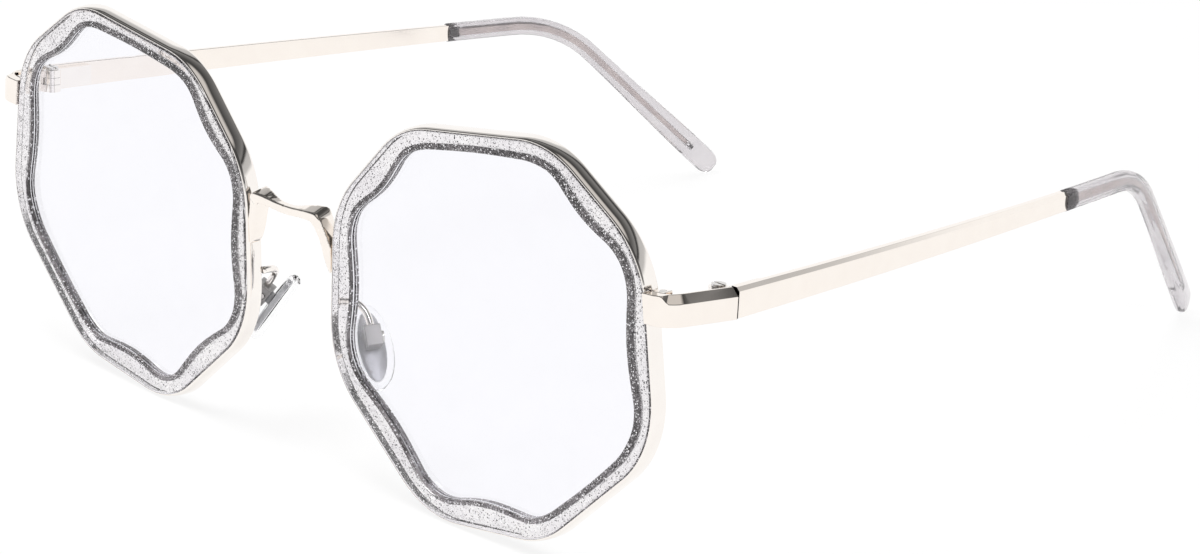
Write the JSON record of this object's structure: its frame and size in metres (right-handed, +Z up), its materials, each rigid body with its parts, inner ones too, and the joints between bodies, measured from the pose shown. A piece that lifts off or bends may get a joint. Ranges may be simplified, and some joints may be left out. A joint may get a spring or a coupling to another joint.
{
  "type": "glasses",
  "caption": "Large octagonal glasses with clear lenses, glittering acetate rings in thin metal rims, a bent strap bridge, folding temples and rocking nose pads.",
  "frame": {"origin": "middle of the outer size seen from above, at the table that the rims and the temple tips stand on", "axes": "+Z up; -Y the way that the wearer looks; +X towards the wearer's left, which is the near side in the picture"},
  "size_m": [0.142, 0.1367, 0.0541],
  "materials": {
    "pale_gold_metal": "polished",
    "silver_metal": "polished",
    "glitter_acetate": "gloss, clear with glitter",
    "clear_lens": "gloss, clear",
    "grey_acetate": "gloss, clear grey",
    "clear_silicone": "satin, clear"
  },
  "bodies": {
    "front": {"bridge": "pale_gold_metal", "left_lens": "clear_lens", "right_lens": "clear_lens", "left_acetate_ring": "glitter_acetate", "right_acetate_ring": "glitter_acetate", "left_metal_rim": "silver_metal", "right_metal_rim": "silver_metal", "left_end_piece": "pale_gold_metal", "right_end_piece": "pale_gold_metal", "left_rim_lock_upper": "silver_metal", "right_rim_lock_upper": "silver_metal", "left_rim_lock_lower": "silver_metal", "right_rim_lock_lower": "silver_metal", "left_rim_screw": "silver_metal", "right_rim_screw": "silver_metal", "left_front_hinge_leaf": "silver_metal", "right_front_hinge_leaf": "silver_metal", "left_hinge_screw": "silver_metal", "right_hinge_screw": "silver_metal", "left_pad_arm": "pale_gold_metal", "right_pad_arm": "pale_gold_metal", "left_pad_box": "silver_metal", "right_pad_box": "silver_metal", "left_pad_screw": "silver_metal", "right_pad_screw": "silver_metal"},
    "left_temple": {"left_temple_hinge_leaf": "silver_metal", "left_temple_bar": "pale_gold_metal", "left_temple_tip": "grey_acetate"},
    "right_temple": {"right_temple_hinge_leaf": "silver_metal", "right_temple_bar": "pale_gold_metal", "right_temple_tip": "grey_acetate"},
    "left_nose_pad": {"left_pad_core": "silver_metal", "left_nose_pad": "clear_silicone"},
    "right_nose_pad": {"right_pad_core": "silver_metal", "right_nose_pad": "clear_silicone"}
  },
  "joints": [
    {"name": "left_temple_hinge", "type": "hinge", "parent": "front", "child": "left_temple", "pos_m": [0.06815, -0.05674, 0.03731], "axis": [0, 0.0698, 0.9976], "range_deg": [0, 84]},
    {"name": "right_temple_hinge", "type": "hinge", "parent": "front", "child": "right_temple", "pos_m": [-0.06815, -0.05674, 0.03731], "axis": [0, -0.0698, -0.9976], "range_deg": [0, 76]},
    {"name": "left_pad_pivot", "type": "hinge", "parent": "front", "child": "left_nose_pad", "pos_m": [0.01192, -0.06253, 0.01912], "axis": [0.4786, 0.8762, 0.0564], "range_deg": [-8, 8]},
    {"name": "right_pad_pivot", "type": "hinge", "parent": "front", "child": "right_nose_pad", "pos_m": [-0.01192, -0.06253, 0.01912], "axis": [0.4786, -0.8762, -0.0564], "range_deg": [-8, 8]}
  ]
}
